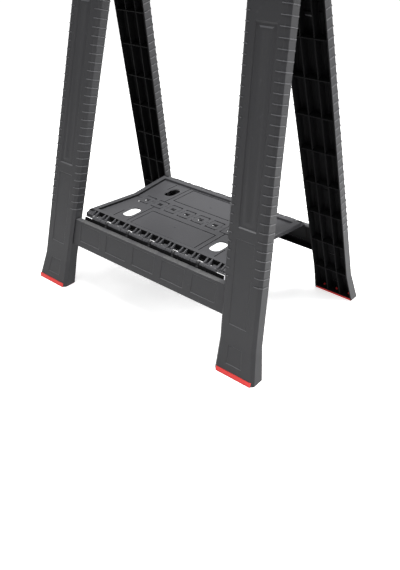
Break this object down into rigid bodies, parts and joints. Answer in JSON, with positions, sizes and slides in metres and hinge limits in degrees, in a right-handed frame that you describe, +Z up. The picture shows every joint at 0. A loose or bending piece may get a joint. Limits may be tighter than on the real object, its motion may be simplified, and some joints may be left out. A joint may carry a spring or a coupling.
{
  "type": "folding sawhorse",
  "caption": "Folding sawhorse with moulded channel legs, long top beams, red foot pads and a hinged tool tray that folds up between its frames.",
  "frame": {"origin": "on the ground under the middle of the open sawhorse", "axes": "+Z up, X along the rails and the top beams, Y from the front frame (-Y) to the rear frame (+Y)"},
  "size_m": [0.686, 0.4456, 0.813],
  "materials": {
    "frame_plastic": "moulded polypropylene, fine satin texture",
    "tray_plastic": "moulded polypropylene, satin",
    "foot_rubber": "soft moulded rubber, matte",
    "hinge_steel": "dark drawn steel rod"
  },
  "bodies": {
    "front_frame": {"front_left_leg": "frame_plastic", "front_right_leg": "frame_plastic", "front_rail": "frame_plastic", "front_top_beam": "frame_plastic", "front_left_foot_pad": "foot_rubber", "front_right_foot_pad": "foot_rubber", "front_left_cord_hook": "frame_plastic", "front_right_cord_hook": "frame_plastic", "front_tray_hinge_rod": "hinge_steel", "top_hinge_pin_left": "hinge_steel", "top_hinge_pin_right": "hinge_steel"},
    "front_leaf": {"front_tray_leaf": "tray_plastic", "tray_middle_rod": "hinge_steel"},
    "rear_leaf": {"rear_tray_leaf": "tray_plastic"},
    "rear_frame": {"rear_left_leg": "frame_plastic", "rear_right_leg": "frame_plastic", "rear_rail": "frame_plastic", "rear_top_beam": "frame_plastic", "rear_left_foot_pad": "foot_rubber", "rear_right_foot_pad": "foot_rubber", "rear_left_cord_hook": "frame_plastic", "rear_right_cord_hook": "frame_plastic", "rear_tray_hinge_rod": "hinge_steel"}
  },
  "joints": [
    {"name": "fold", "type": "hinge", "parent": "front_frame", "child": "front_leaf", "pos_m": [0, -0.14746, 0.185], "axis": [1, 0, 0], "range_deg": [0, 73.9]},
    {"name": "tray_middle", "type": "hinge", "parent": "front_leaf", "child": "rear_leaf", "pos_m": [0, 0, 0.179], "axis": [1, 0, 0], "range_deg": [-172.4, 0]},
    {"name": "rear_rail_hinge", "type": "hinge", "parent": "rear_leaf", "child": "rear_frame", "pos_m": [0, 0.14746, 0.185], "axis": [1, 0, 0], "range_deg": [0, 74]}
  ],
  "couplings": [
    {"joint": "tray_middle", "follows": "fold", "ratio": -2.3312},
    {"joint": "rear_rail_hinge", "follows": "fold", "ratio": 1}
  ]
}
